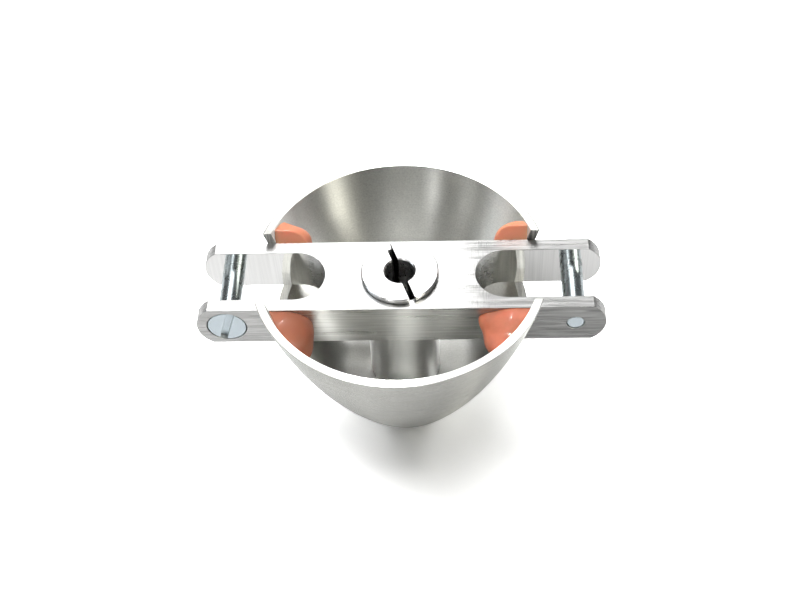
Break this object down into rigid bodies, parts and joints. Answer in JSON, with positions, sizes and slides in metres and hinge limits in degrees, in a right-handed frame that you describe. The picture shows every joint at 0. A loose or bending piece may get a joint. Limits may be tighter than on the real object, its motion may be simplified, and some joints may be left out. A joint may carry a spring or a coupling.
{
  "type": "propeller spinner",
  "caption": "Hollow turned spinner for a folding propeller, with a milled yoke that carries hinged blades on shoulder screws and a slit collet for the motor shaft.",
  "frame": {"origin": "on the shaft axis, in the motor-side face of the yoke", "axes": "+Z along the shaft towards the motor, so the nose points to -Z; +X along the yoke towards the right pivot screw; +Y across the yoke"},
  "size_m": [0.0552, 0.04, 0.0319],
  "materials": {
    "turned_aluminium": "fine turned",
    "milled_aluminium": "brushed",
    "collet_metal": "fine turned",
    "zinc_plated_steel": "bright zinc",
    "black_steel": "black oxide",
    "glue_resin": "cast gloss"
  },
  "bodies": {
    "spinner": {"spinner_shell": "turned_aluminium", "yoke": "milled_aluminium", "pivot_screw_left": "zinc_plated_steel", "pivot_screw_right": "zinc_plated_steel", "resin_fillet_front_left": "glue_resin", "resin_fillet_front_right": "glue_resin", "resin_fillet_back_left": "glue_resin", "resin_fillet_back_right": "glue_resin"},
    "collet": {"collet": "collet_metal"},
    "clamp_screw": {"clamp_screw": "black_steel"}
  },
  "joints": [
    {"name": "clamp_screw_turn", "type": "hinge", "parent": "spinner", "child": "clamp_screw", "pos_m": [0, 0, -0.019], "axis": [0, 0, -1], "range_deg": [0, 432]},
    {"name": "collet_lift", "type": "slide", "parent": "spinner", "child": "collet", "axis": [0, 0, 1], "range_m": [0, 0.0006]}
  ],
  "couplings": [
    {"joint": "clamp_screw_turn", "follows": "collet_lift", "rad_per_m": 12566}
  ]
}
